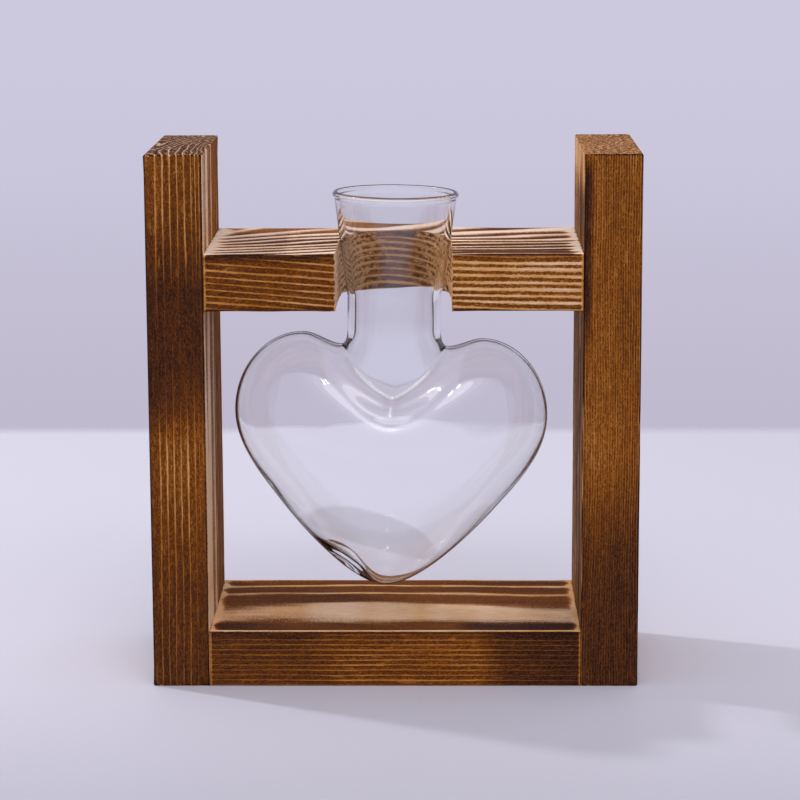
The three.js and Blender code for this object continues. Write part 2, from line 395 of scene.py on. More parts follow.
ALL_PALE = 1.25
WIDEST_SHARE = 1.3
RIDGE_SOFTNESS = 0.25
RELIEF_FADE = 6 * MM
SHARP_ANGLE = np.radians(50)


def usual_share(bare):
    """Pale share of a ring for a bared share: some of the ring stays a faint line in burnt wood."""
    return 0.07 + 0.8 * bare


def dress_board(piece, timber, middle, order, torch, relief):
    """Mark a board with its rings and burns, and brush the soft wood between the rings back by the relief.

    The order names the axes that run along the grain, across the board and through it from its middle.
    """
    mesh = piece.data
    points, normals = read_points(mesh)
    grain = (points - middle)[:, order]
    growth = ring_count(timber, grain)
    burn, bare, share = torch(points, face_shares(normals))
    from_ridge = np.abs(growth - np.floor(growth) - 0.5) * 2
    ridge = 1 - smooth(from_ridge, share - RIDGE_SOFTNESS, share + RIDGE_SOFTNESS)
    along = grain[:, 0]
    from_end = np.minimum(along - along.min(), along.max() - along)
    brushed = relief * (1 - ridge) * smooth(from_end, 0.0, RELIEF_FADE)
    points -= normals * brushed[:, None]
    mesh.vertices.foreach_set("co", points.ravel())
    mesh.update()
    marks = {
        "growth": growth,
        "burn": np.clip(burn, 0.0, 1.0),
        "bare": np.clip(bare, 0.0, 1.0),
        "share": np.clip(share, 0.0, WIDEST_SHARE),
        "grain": grain / MM,
        "end": np.abs(normals[:, order[0]]),
    }
    for name, values in marks.items():
        write_attribute(mesh, name, values)
    mesh.set_sharp_from_angle(angle=SHARP_ANGLE)
    mesh.materials.append(charred_pine())


BURNT_BAND = [
    (0.0, linear(214, 172, 132)),
    (0.3, linear(166, 104, 46)),
    (0.5, linear(122, 64, 10)),
    (0.7, linear(88, 49, 28)),
    (1.0, linear(36, 22, 19)),
]
# Pale ridge colours; the palest pinkish-white stops, reached on the crossbar's top, are bared pine partly
# lightened by painted sheen
PALE_RIDGE_AND_SHEEN = [
    (0.0, linear(92, 53, 28)),
    (0.2, linear(174, 108, 44)),
    (0.42, linear(222, 166, 106)),
    (0.7, linear(246, 216, 196)),
    (1.0, linear(240, 219, 205)),
]


def charred_pine():
    """Torched and brushed pine: pale ridges of hard wood between burnt bands, with fibres along the grain.

    A ridge lies where the ring count, shifted by fibres and frayed by soot, is within the pale share of the
    middle of its ring. Where the wood is bared, the band is only toasted close to a ridge.
    """
    material = bpy.data.materials.get("charred_pine_brushed")
    if material:
        return material
    material = bpy.data.materials.new("charred_pine_brushed")
    shading = Shading(material)
    grain = shading.attribute("grain", "Vector")
    growth, burn, bare, share, end = (
        shading.attribute(name) for name in ("growth", "burn", "bare", "share", "end")
    )
    fibre = shading.noise(grain, (0.22, 3.2, 3.2), detail=4.0)
    streak = shading.noise(grain, (0.05, 1.1, 1.1))
    speckle = shading.noise(grain, (0.2, 0.8, 0.8), detail=5.0, roughness=0.7) - 0.5
    soot = shading.noise(grain, (1.3, 3.2, 3.2), detail=6.0, roughness=0.75)

    ring = growth + (fibre - 0.5) * 0.2 + (streak - 0.5) * 0.18
    along = shading.node("ShaderNodeSeparateXYZ", {}, {0: grain}, "X")
    ring_place = shading.node("ShaderNodeCombineXYZ", {}, {"X": along * 0.045, "Y": ring.floor() * 7.3})
    line = shading.noise(ring_place, (1.0, 1.0, 1.0), detail=2.0)
    own = shading.node("ShaderNodeTexWhiteNoise", {"noise_dimensions": "1D"}, {"W": ring.floor()}, "Value")
    uneven = (own * 0.55 + line * 0.75 - 0.65) * share * (1.2 - share).clamped()
    frayed = (soot - 0.5) * (share + 0.1) * 2
    past_ridge = abs(ring.fraction() - 0.5) * 2 - share - uneven + frayed
    nicked = (bare * 6.0).clamped() * (1.4 - bare * 4.0).clamped()
    nick = shading.noise(grain, (0.13, 0.75, 0.75), detail=1.0).step(0.64, 0.7) * nicked
    blur = 0.05 + 0.24 * bare
    ridge = (1 - (past_ridge / blur).step(-1.0, 1.0) + nick * 0.7).clamped()

    toast = (1 - (past_ridge / 0.34).clamped()) * (bare * 3.0 - 1.0).clamped() * 0.34
    depth = (burn + (soot - 0.5) * 1.9 + (streak - 0.5) * 0.4 + speckle * end * 7.5 - toast).clamped()
    brushed = (bare * 3.0).clamped()
    paleness = (bare + (line - 0.5) * brushed * 0.5 + (fibre - 0.5) * 0.22).clamped()
    wood = shading.mix(ridge, shading.ramp(depth, BURNT_BAND), shading.ramp(paleness, PALE_RIDGE_AND_SHEEN))
    flecked = shading.mix(1.0, wood, shading.grey(0.5 + 0.6 * fibre + 0.4 * soot), "MULTIPLY")
    height = ridge * 0.35 + fibre * 0.65
    bump = shading.node("ShaderNodeBump", {}, {"Height": height, "Strength": 0.35, "Distance": 0.2 * MM})
    surface = shading.principled({
        "Base Color": flecked,
        "Roughness": 0.55 + 0.2 * ridge + 0.12 * soot,
        "Normal": bump,
        "Specular IOR Level": 0.02,
    })
    shading.finish(surface)
    return material


def by_marks(place, marks):
    """Value that follows marks of (place in mm, value)."""
    return np.interp(place, *np.array(marks).T)


def towards(value, target, share):
    """Value moved a share of the way towards a target."""
    return value + (target - value) * share


def blend(faces, plain, **values):
    """Value that is plain all round and takes the given values on the named faces."""
    result = np.array(plain, dtype=float)
    for name, value in values.items():
        result = towards(result, value, faces[name])
    return result


def on_arris(faces, *sides):
    """How far a point lies on the arris between the front and one of the sides, from 0 to 1."""
    return 4 * faces["front"] * sum(faces[side] for side in sides)


def torch_left(points, faces):
    """Burn, bareness and pale share of the left upright."""
    x, y, z = (points / MM).T
    patch = drift(points, 11, (18 * MM, 18 * MM, 45 * MM))
    blotch = drift(points, 12, (3 * MM, 9 * MM, 60 * MM))
    inner = smooth(x, -63, -59)
    burn_front = by_marks(z, [
        (0, 0.7), (34, 0.68), (52, 0.62), (66, 0.59), (78, 0.61), (88, 0.78),
        (100, 0.88), (124, 0.86), (136, 0.74), (147, 0.6), (165, 0.53),
    ])
    bare_front = by_marks(z, [
        (0, 0.12), (34, 0.14), (60, 0.26), (76, 0.29), (88, 0.08),
        (100, 0.01), (124, 0.03), (134, 0.17), (147, 0.26), (165, 0.28),
    ])
    bare_front = bare_front - 0.12 * inner * smooth(z, 90, 70)
    to_front = smooth(y, 12, -6)
    burn = blend(
        faces, 0.64 + 0.14 * patch,
        front=burn_front + 0.06 * patch,
        right=0.66 - 0.08 * to_front + 0.06 * patch,
        top=0.94 + 0.08 * blotch,
    )
    bare = blend(
        faces, 0.2 - 0.1 * patch,
        front=bare_front,
        right=0.2 + 0.38 * to_front,
        top=0.6,
    )
    share = usual_share(bare)
    share = blend(faces, share, front=0.04 + 0.55 * bare, top=0.06, right=share + 0.25 * to_front)
    return burn + 0.6 * on_arris(faces, "left", "right"), bare, share


def torch_right(points, faces):
    """Burn, bareness and pale share of the right upright."""
    x, _, z = (points / MM).T
    patch = drift(points, 23, (18 * MM, 18 * MM, 45 * MM))
    blotch = drift(points, 24, (3 * MM, 9 * MM, 60 * MM))
    inner_edge = smooth(x, 61.2, 58.0) * smooth(z, 96, 124) * smooth(z, 166, 158)
    burn_front = by_marks(z, [
        (0, 0.84), (40, 0.8), (56, 0.66), (74, 0.55), (90, 0.6), (120, 0.64), (165, 0.58),
    ])
    bare_front = by_marks(z, [
        (0, 0.05), (40, 0.06), (56, 0.13), (74, 0.2), (120, 0.17), (165, 0.2),
    ])
    top_pale = smooth(z, 148, 161)
    burn = blend(
        faces, 0.6 + 0.14 * patch,
        front=towards(burn_front, 1.02, inner_edge) + 0.07 * patch,
        left=0.8 - 0.4 * top_pale + 0.06 * patch,
        top=0.5 + 0.08 * blotch,
    )
    bare = blend(
        faces, 0.18 - 0.08 * patch,
        front=bare_front * (1 - inner_edge),
        left=0.34 + 0.14 * top_pale,
        top=0.2,
    )
    share = blend(faces, usual_share(bare), front=0.06 + bare, left=0.3 + 0.5 * top_pale)
    arris = on_arris(faces, "left", "right", "top")
    return burn + 0.6 * arris, bare, share * (1 - on_arris(faces, "top"))


def from_ends(points):
    """Distance in mm of a rail's points from its nearer end."""
    return (RAIL_END - np.abs(points[:, 0])) / MM


def unburnt_ends(points, reach):
    """How far a rail's point lies in the corners by the uprights that the flame missed, from 0 to 1."""
    ragged = 0.25 * reach * drift(points, 5, (200 * MM, 3.4 * MM, 9 * MM))
    return smooth(from_ends(points) + ragged, reach * 1.7, reach * 0.3)


def end_lines(points, faces):
    """How far a rail's point lies on the pale lines down its front by the uprights, from 0 to 1."""
    return smooth(from_ends(points), 0.6, 0.3) * faces["front"]


def torch_crossbar(points, faces):
    """Burn, bareness and pale share of the crossbar."""
    x, y, z = (points / MM).T
    patch = drift(points, 31, (45 * MM, 18 * MM, 18 * MM))
    to_right = by_marks(x, [(-57, 0.0), (-18, 0.16), (18, 0.85), (40, 1.0)])
    below_top = BAR_TOP / MM - z
    above_bottom = z - BAR_BOTTOM / MM
    edge = smooth(below_top, 3.4, 0.6) * (1 - 0.7 * to_right) + smooth(above_bottom, 1.6, 0.2)
    corner = unburnt_ends(points, np.where(x < 0, 3.8, 2.8)) * faces["top"]
    arris = on_arris(faces, "top")
    top_edge = smooth(below_top, 2.4, 1.0)
    end_line = end_lines(points, faces)
    in_notch = (np.hypot(x, np.maximum(y, 0)) < 19.2) * (1 - faces["top"]) * (1 - faces["front"])
    smear = smooth(y + 2 * patch, 15, 21) * smooth(x, 4, -8)
    burn = blend(
        faces, 0.62 + 0.12 * patch,
        front=0.62 - 0.13 * to_right + 0.26 * edge + 0.06 * patch,
        top=0.76 + 0.08 * patch - 0.3 * smear,
    )
    # The top's high bareness reaches the palest pinkish-white ridge colours: bared wood, partly painted sheen
    bare = blend(
        faces, 0.3 - 0.1 * patch,
        front=0.22 + 0.25 * to_right - 0.2 * edge,
        top=0.66 - 0.06 * patch,
    )
    front_band = smooth(y, -19, -24) * smooth(x, -4, 12)
    share = blend(
        faces, usual_share(bare),
        front=(0.08 + 0.78 * bare) * (1 - 0.9 * top_edge),
        top=0.48 - 0.06 * smooth(x, 0, -20) - 0.1 * patch - 0.42 * front_band - 0.34 * smear,
    )
    burn = towards(burn, 0.05 + 0.006 * x, in_notch)
    bare = towards(bare, 0.48 - 0.006 * x, in_notch)
    bare = bare + (0.95 - bare) * corner + (0.22 - bare) * end_line
    burn = burn * (1 - corner) + 0.4 * arris * (1 - end_line)
    share = share * (1 - arris)
    return burn, bare, towards(share, ALL_PALE, np.maximum(corner**3, end_line))


def torch_rail(points, faces):
    """Burn, bareness and pale share of the base rail."""
    x, y, z = (points / MM).T
    patch = drift(points, 43, (45 * MM, 18 * MM, 18 * MM))
    burn_front = by_marks(x, [
        (-57, 0.74), (-30, 0.7), (-14, 0.57), (26, 0.56), (34, 0.78), (57, 0.84),
    ])
    bare_front = by_marks(x, [
        (-57, 0.1), (-30, 0.12), (-14, 0.2), (26, 0.2), (34, 0.08), (57, 0.04),
    ])
    edge = smooth(RAIL_TOP / MM - z, 3.2, 0.6)
    corner = unburnt_ends(points, 1.8) * faces["top"]
    end_line = end_lines(points, faces)
    at_back = smooth(y, 2, 8)
    front_strip = smooth(y, -18, -24)
    strip_burn = by_marks(x, [
        (-57, 0.3), (-48, 0.24), (-32, -0.02), (18, -0.04), (24, 0.22), (57, 0.3),
    ])
    burn = blend(
        faces, 0.64 + 0.12 * patch,
        front=burn_front + 0.16 * edge + 0.05 * patch,
        top=0.61 + 0.08 * patch + front_strip * strip_burn,
    )
    bare = blend(
        faces, 0.22 - 0.1 * patch,
        front=bare_front - 0.1 * edge,
        top=0.52 - 0.08 * at_back,
    )
    share = blend(faces, usual_share(bare), top=0.42 - 0.26 * at_back)
    bare = bare + (0.5 - bare) * corner + (0.2 - bare) * end_line
    front_arris = smooth(y + 0.4 * patch, -30.3, -31.2) * faces["top"]
    pale_lines = np.maximum(np.maximum(corner**3, end_line), front_arris)
    return burn * (1 - 0.8 * corner), bare, towards(share, ALL_PALE, pale_lines)


TIMBER = {
    "left_upright": {
        "pith": (-16 * MM, 71 * MM), "spacing": 2.15 * MM, "phase": 0.105, "slope": 0.6, "bend": 0.0,
        "wander": 0.1, "curl": 0.55, "seed": 101,
        "crowded": ((-0.9, -5.9 * MM, -8.8 * MM), (-1.2, 5.2 * MM, 8.8 * MM)),
    },
    "right_upright": {
        "pith": (-12 * MM, 74 * MM), "spacing": 0.76 * MM, "phase": 0.0, "slope": 1.0, "bend": 0.0,
        "wander": 0.5, "curl": 0.3, "seed": 107, "crowded": (),
    },
    "crossbar": {
        "pith": (49 * MM, -194 * MM), "spacing": 1.85 * MM, "phase": 0.0, "slope": 30.0, "bend": -200.0,
        "wander": 0.2, "curl": 0.15, "seed": 113, "crowded": (),
    },
    "base_rail": {
        "pith": (-10.5 * MM, -170 * MM), "spacing": 1.6 * MM, "phase": -0.25, "slope": 0.6, "bend": 0.0,
        "wander": 0.12, "curl": 0.0, "seed": 127, "crowded": (),
    },
}
NEAR_ENDS = np.array([0.0, 0.35, 0.7, 1.0, 1.6, 2.6, 3.8]) * MM


def straight_outline(start, stop, across, step):
    """Straight edge of a board, as points of (along, across) that lie closer by its ends."""
    middle_start, middle_stop = start + NEAR_ENDS[-1] + step, stop - NEAR_ENDS[-1] - step
    count = int(round((middle_stop - middle_start) / step)) + 1
    middle = np.linspace(middle_start, middle_stop, count)
    along = np.concatenate([start + NEAR_ENDS, middle, stop - NEAR_ENDS[::-1]])
    return np.stack([along, np.full(len(along), across)], axis=1)


SIDE_POINTS = 20
ROUND_POINTS = 22
MOUTH_PACE = 1.35
ROUND_PACE = 0.82


def notched_outlines(half_length, half_width, radius, ease, step):
    """Front and back outlines of the crossbar: the front runs into the notch and round its half circle.

    The back outline runs on at a lower speed while the front one goes in and out, so no ruling of the
    board's faces crosses another.
    """
    straight = straight_outline(-half_length, -radius - ease, -half_width, step)
    turn = np.linspace(0.0, np.pi / 2, AROUND_ARRIS + 1)[1:, None]
    corner = ease * np.hstack([np.sin(turn), -np.cos(turn)]) + (-radius - ease, -half_width + ease)
    inwards = np.linspace(-half_width + ease, 0.0, SIDE_POINTS)[1:, None]
    side = np.hstack([np.full_like(inwards, -radius), inwards])
    round_turn = np.linspace(np.pi, np.pi / 2, ROUND_POINTS)[1:, None]
    round_back = radius * np.hstack([np.cos(round_turn), np.sin(round_turn)])
    half = np.concatenate([straight, corner, side, round_back])
    paces = np.concatenate([
        np.linspace(-half_length, -MOUTH_PACE * radius, len(straight)),
        np.linspace(-MOUTH_PACE * radius, -ROUND_PACE * radius, len(corner) + len(side) + 1)[1:],
        ROUND_PACE * radius * np.cos(round_turn[:, 0]),
    ])
    back = np.stack([paces, np.full(len(paces), half_width)], axis=1)
    mirror = np.array([-1.0, 1.0])
    return np.concatenate([half, half[-2::-1] * mirror]), np.concatenate([back, back[-2::-1] * mirror])


# Glass: the blown heart


def bezier(controls, steps):
    """Points, unit tangents and places of a chain of cubic curves, each with its number of steps."""
    points, tangents, places = [], [], []
    for index, (control, count) in enumerate(zip(controls, steps)):
        start, leaving, arriving, stop = np.array(control)
        share = np.linspace(0.0, 1.0, count + 1)[:, None]
        if index < len(controls) - 1:
            share = share[:-1]
        rest = 1 - share
        near_start = rest**3 * start + 3 * rest**2 * share * leaving
        points.append(near_start + 3 * rest * share**2 * arriving + share**3 * stop)
        outset = rest**2 * (leaving - start) + 2 * rest * share * (arriving - leaving)
        tangents.append(outset + share**2 * (stop - arriving))
        places.append(index + share[:, 0])
    tangents = np.concatenate(tangents)
    tangents /= np.linalg.norm(tangents, axis=1, keepdims=True)
    return np.concatenate(points), tangents, np.concatenate(places)


def line(start, stop):
    """Controls of a cubic curve that is a straight line."""
    start, stop = np.array(start), np.array(stop)
    return [start, start + (stop - start) / 3, start + (stop - start) * 2 / 3, stop]


FRONT_VIEW = np.array([
    (0.574, 1), (0.799, 1), (1, 0.865), (1, 0.694), (1, 0.554), (0.833, 0.441), (0.709, 0.345),
    (0.528, 0.204), (0.203, 0), (0, 0),
])
SIDE_VIEW = np.array([
    (0.748, 0.728), (0.84, 0.696), (0.959, 0.654), (1, 0.575), (1, 0.5), (1, 0.405), (0.832, 0.281),
    (0.7, 0.219), (0.524, 0.137), (0.28, 0), (0, 0),
])
NECK_STEPS = [14, 16, 12]
HEART_STEPS = [10, 14, 34, 26, 40]
ROW_STEPS = NECK_STEPS + HEART_STEPS
NECK_PARTS = len(NECK_STEPS)
CREASE_ROW = sum(NECK_STEPS) + HEART_STEPS[0]


def chained(points):
    """Controls of the cubic curves of a chain of points, where every third point is shared by two curves."""
    return [points[start:start + 4] for start in range(0, len(points) - 1, 3)]


def turned(points, angle, height):
    """Points turned about the front-to-back axis at a height."""
    sine, cosine = np.sin(angle), np.cos(angle)
    x, y, z = points[..., 0], points[..., 1], points[..., 2] - height
    return np.stack([x * cosine + z * sine, y, z * cosine - x * sine + height], axis=-1)


def neck_seat(glass):
    """Radius of the neck where it meets the top of the crossbar."""
    return glass.notch_radius - glass.neck_clearance


def lip_bead(glass):
    """Radius of the lip's bead, and the distance from the axis and the height of its middle."""
    radius = (glass.rim_wall + glass.lip_step) / 2
    from_axis = neck_seat(glass) + glass.neck_flare - glass.rim_wall + radius
    return radius, from_axis, BAR_TOP + glass.lip_above_bar - radius


def vase_profiles(glass):
    """Half outlines of the vase across its width and through its depth, from under the lip to the tip.

    Both go down the neck. Then one runs over the dip and the lobe and down the flank of the front view, and
    the other into the cleft and down the breast of the side view.
    """
    tip = RAIL_TOP + glass.tip_above_rail
    lobe_height = tip + glass.heart_height
    seat = neck_seat(glass)
    tube = seat - glass.neck_taper
    lip, _, lip_height = lip_bead(glass)
    shoulder = np.array([tube, lobe_height - glass.shoulder_dip + glass.shoulder_fillet])
    neck = [
        line((seat + glass.neck_flare, lip_height - lip), (seat, BAR_TOP)),
        line((seat, BAR_TOP), (tube, BAR_BOTTOM)),
        line((tube, BAR_BOTTOM), shoulder),
    ]
    front = FRONT_VIEW * (glass.heart_width / 2, glass.heart_height) + (0, tip)
    side = SIDE_VIEW * (glass.heart_depth / 2, glass.heart_height) + (0, tip)
    fillet = glass.dip_beside_neck / 2
    dip = np.array([tube + glass.dip_beside_neck, lobe_height - glass.shoulder_dip])
    to_dip = [shoulder, (tube, dip[1] + fillet), (dip[0] - fillet, dip[1]), dip]
    rise = np.array([(front[0, 0] - dip[0]) / 3, 0.0])
    across = neck + chained([*to_dip, dip + rise, front[0] - rise, *front])
    cleft = np.array([tube + glass.cleft_fillet / 2, lobe_height - glass.cleft_below_lobes])
    turn = glass.cleft_fillet * np.array([np.sin(glass.cleft_slope), -np.cos(glass.cleft_slope)])
    to_cleft = [shoulder, (tube, (shoulder[1] + cleft[1]) / 2), cleft - turn, cleft]
    through = neck + chained([*to_cleft, cleft + 3 * turn, *side])
    return across, through, tip, lobe_height


PATCH_BEHIND = 5 * MM
PATCH_CORE = 0.9


def thick_patch(glass, points, tip):
    """Extra wall of the thick patch low in the back of the heart, and how far each point lies in it, for its
    painted shade.

    It is an ellipse in the front view, slanted. The wall rises in a straight line from its lower edge to
    its upper edge, and falls back smoothly above it.
    """
    x = points[..., 0] - glass.patch_aside
    z = points[..., 2] - tip - glass.patch_above_tip
    sine, cosine = np.sin(glass.patch_tilt), np.cos(glass.patch_tilt)
    right, up = x * cosine + z * sine, z * cosine - x * sine
    edge = np.sqrt(np.clip(1 - (right / glass.patch_width) ** 2, 0.0, 1.0))
    rise = np.clip((up / glass.patch_height + edge) / 2, 0.0, edge)
    fall = smooth(up - glass.patch_height * edge, 0.0, glass.patch_fade)
    at_back = smooth(points[..., 1], 0.0, PATCH_BEHIND)
    inside = smooth(np.hypot(right / glass.patch_width, up / glass.patch_height), 1.0, PATCH_CORE)
    return glass.patch_rise * rise * (1 - fall) * at_back, inside * at_back


UNEVEN_SEED = 61
UNEVEN_REACH = (24 * MM, 24 * MM, 9 * MM)
LIP_TURN = np.radians(np.linspace(-40, 175, 18))


def vase_grid(glass):
    """Skin of the vase: rings round the neck's axis, up the outside, over the lip and down the inside.

    A ring point at angle a lies at (across * cos a, through * sin a) in plan. Its height goes from through
    to across with the share |cos a| ^ p, where p is 2 but falls where the neck meets the heart, so that
    the crease there is a V. A valley runs down from the foot of the V at the front and the back. The
    inside is the outside moved in along the blended normal by the wall, which is thin at the rim and in
    the heart, uneven as blown glass is, and thick at the gather, a bell of glass beside the tip.
    """
    across, through, tip, lobe_height = vase_profiles(glass)
    wide, wide_tangent, place = bezier(across, ROW_STEPS)
    deep, deep_tangent, _ = bezier(through, ROW_STEPS)
    angle = np.linspace(0.0, 2 * np.pi, glass.around, endpoint=False)
    cosine, sine = np.cos(angle), np.sin(angle)
    crease = smooth(place, NECK_PARTS, NECK_PARTS + 1) * smooth(place, NECK_PARTS + 3, NECK_PARTS + 1)
    exponent = 2.0 - glass.crease_point * crease[:, None]

    def rings(wide_pair, deep_pair, sideways):
        x = wide_pair[:, :1] * cosine
        y = deep_pair[:, :1] * sine
        z = wide_pair[:, 1:] * sideways + deep_pair[:, 1:] * (1 - sideways)
        return np.stack([x, y, z], axis=-1)

    outside = rings(wide, deep, np.abs(cosine) ** exponent)
    outwards = rings(
        np.stack([-wide_tangent[:, 1], wide_tangent[:, 0]], axis=1),
        np.stack([-deep_tangent[:, 1], deep_tangent[:, 0]], axis=1),
        cosine**2,
    )
    outwards /= np.linalg.norm(outwards, axis=-1, keepdims=True)

    cleft = lobe_height - glass.cleft_below_lobes
    below = smooth(outside[..., 2], cleft - glass.valley_length, cleft - glass.valley_length / 3)
    valley = glass.valley * np.exp(-(outside[..., 0] / glass.valley_width) ** 2) * below
    valley *= smooth(place, NECK_PARTS + 0.6, NECK_PARTS + 1.2)[:, None]
    outside = outside - outwards * valley[..., None]

    heart = smooth(place, NECK_PARTS, NECK_PARTS + 2)[:, None]
    blown = smooth(place, NECK_PARTS - 0.1, NECK_PARTS + 0.9)[:, None]
    rim = smooth(place, 2.0, 0.0)[:, None]
    wall = glass.neck_wall + (glass.heart_wall - glass.neck_wall) * blown
    wall = wall + (glass.rim_wall - glass.neck_wall) * rim
    gather = np.array([-glass.gather_from_tip, 0.0, tip + glass.gather_from_tip / 2])
    drop = glass.gather * np.exp(-np.sum((outside - gather) ** 2, axis=-1) / glass.gather_reach**2)
    uneven = drift(outside.reshape(-1, 3), UNEVEN_SEED, UNEVEN_REACH).reshape(outside.shape[:2])
    thick, _ = thick_patch(glass, outside, tip)
    wall = wall + drop + thick + glass.uneven * uneven * (1 - rim) * (1 - 0.5 * heart)
    inside = outside - outwards * wall[..., None]

    lean = glass.heart_lean * heart
    outside, inside = turned(outside, lean, lobe_height), turned(inside, lean, lobe_height)
    lip, bead, lip_height = lip_bead(glass)
    lip_pair = np.stack([bead + lip * np.cos(LIP_TURN), lip_height + lip * np.sin(LIP_TURN)], axis=1)
    skin = np.concatenate([outside[::-1], rings(lip_pair, lip_pair, cosine**2), inside])
    return turned(skin, glass.neck_lean, BAR_TOP)


# Distances and fades of the painted highlight lines in the V crease and round the lip's bead
FAR_OFF = 20 * MM
FADE_FACTOR = 20
CREASE_ENDS = (11.5 * MM, 15 * MM)
CREASE_BEHIND = (-3 * MM, 1 * MM)
GLINT_TURN = np.radians(6)
GLINT_SOFTNESS = 0.2 * MM
GLINT_BEHIND = (-10 * MM, -3 * MM)
# Where the painted shade line runs round the lip's rim, and how strongly
RIM_START, RIM_START_IN_FRONT = np.radians(75), np.radians(44)
RIM_RISE, RIM_FALL = (0.0, np.radians(15)), (np.radians(140), np.radians(125))
RIM_PAINTED_SHADE = 1.9


def crease_distance(glass, points, outer):
    """Distance of points on the outside from the V crease, negative on the neck; other points are far off.

    The crease is a ring of the vase's skin, alike in front and behind, and a point's distance is that to
    the closest of the places on its front half. It grows faster aside, where the crease runs into the
    shoulders, and behind, so that the painted highlight line fades out there.
    """
    across, through, _, _ = vase_profiles(glass)
    wide = bezier(across, ROW_STEPS)[0][CREASE_ROW]
    deep = bezier(through, ROW_STEPS)[0][CREASE_ROW]
    angle = np.linspace(-np.pi, 0.0, 2 * glass.around)
    share = np.abs(np.cos(angle)) ** (2.0 - glass.crease_point)
    height = wide[1] * share + deep[1] * (1 - share)
    ring = np.stack([wide[0] * np.cos(angle), deep[0] * np.sin(angle), height], axis=1)

    outside = np.flatnonzero(outer > 0.5)
    x, y, z = points[outside].T
    in_front = np.stack([x, -np.abs(y), z], axis=1)
    apart = np.sum(ring**2, axis=1) - 2 * in_front @ ring.T
    closest = ring[apart.argmin(axis=1)]
    on_neck = np.hypot(x, y) < np.hypot(closest[:, 0], closest[:, 1])
    signed = np.linalg.norm(in_front - closest, axis=1) * np.where(on_neck, -1.0, 1.0)
    aside = np.maximum(smooth(np.abs(x), *CREASE_ENDS), smooth(y, *CREASE_BEHIND))
    distance = np.full(len(points), -FAR_OFF)
    distance[outside] = signed * (1 + FADE_FACTOR * aside)
    return distance


def lip_angle(glass, upright):
    """Angle of points round the lip's bead, from 0 on its outside up over the top."""
    _, bead, lip_height = lip_bead(glass)
    from_axis = np.hypot(upright[:, 0], upright[:, 1])
    return np.arctan2(upright[:, 2] - lip_height, from_axis - bead)


def painted_edge_shade(glass, heart, upright, outer):
    """How much sooner the glass takes its painted shade where it is seen edge on, for the dark it reflects
    there.

    Sooner inside the neck, on both flanks and over the lobes, and later on the outside of the neck. Above
    the crossbar only the rim is painted dark: the top and inner side of the lip, and more of it at the front.
    """
    _, _, tip, lobe_height = vase_profiles(glass)
    lip, _, lip_height = lip_bead(glass)
    x, _, z = heart.T
    neck = smooth(z, lobe_height - 1 * MM, lobe_height + 3 * MM)
    crown = smooth(z, lobe_height - 16 * MM, lobe_height - 5 * MM)
    left_flank = smooth(x, -5 * MM, -12 * MM) * smooth(z, tip + 40 * MM, tip + 28 * MM)
    right_flank = smooth(x, 8 * MM, 18 * MM) * smooth(z, tip + 52 * MM, tip + 44 * MM)
    on_heart = 0.1 * left_flank + 0.06 * right_flank + 0.1 * crown
    above_bar = smooth(z, BAR_BOTTOM, BAR_TOP)
    lip_turn = lip_angle(glass, upright)
    rim_start = towards(RIM_START, RIM_START_IN_FRONT, smooth(upright[:, 1], 2 * MM, -8 * MM))
    rim = smooth(lip_turn - rim_start, *RIM_RISE) * smooth(lip_turn, *RIM_FALL)
    rim *= smooth(z, lip_height - lip, lip_height)
    return towards(on_heart, 0.08 - 0.2 * outer, neck) - above_bar + RIM_PAINTED_SHADE * rim


def painted_highlight_lines(glass, heart, upright, outer):
    """Signed distance of points from the painted highlight lines in the V crease and round the lip's front.

    On the lip's outside the painted glint band counts, and its distance is negative, as on the neck.
    """
    lip, _, lip_height = lip_bead(glass)
    lip_turn = lip_angle(glass, upright)
    behind = FAR_OFF * smooth(upright[:, 1], *GLINT_BEHIND)
    from_glint = lip * np.abs(lip_turn - GLINT_TURN) + GLINT_SOFTNESS + behind
    on_bead = (upright[:, 2] > lip_height - 0.9 * lip) & (np.abs(lip_turn) < np.pi / 2)
    return np.where(on_bead, -from_glint, crease_distance(glass, heart, outer))


def mark_glass(piece, glass):
    """Write how far each point lies in the thick patch's painted shade, its painted edge shade and its
    distance from a painted highlight line.

    They are worked out with the neck's lean taken off, and for the heart with its own lean taken off too.
    """
    _, _, tip, lobe_height = vase_profiles(glass)
    points, normals = read_points(piece.data)
    upright = turned(points, -glass.neck_lean, BAR_TOP)
    heart = turned(upright, -glass.heart_lean, lobe_height)
    outer = smooth(points[:, 0] * normals[:, 0] + points[:, 1] * normals[:, 1], -1 * MM, 1 * MM)
    _, patch = thick_patch(glass, heart, tip)
    # patch: how far each point lies in the thick patch's painted shade
    write_attribute(piece.data, "patch", patch)
    # edge: how much sooner the painted edge shade sets in
    write_attribute(piece.data, "edge", painted_edge_shade(glass, heart, upright, outer))
    # crease: signed distance from the painted highlight lines
    write_attribute(piece.data, "crease", painted_highlight_lines(glass, heart, upright, outer) / MM)


# Facing at which the painted edge shade sets in, reach of the painted highlight lines, and the strength of
# both
PAINTED_EDGE_ON = (0.78, 0.92)
PAINTED_HIGHLIGHT_REACH = (0.85, 0.2)
PAINTED_LIGHT_AND_SHADE_STRENGTH = 0.9


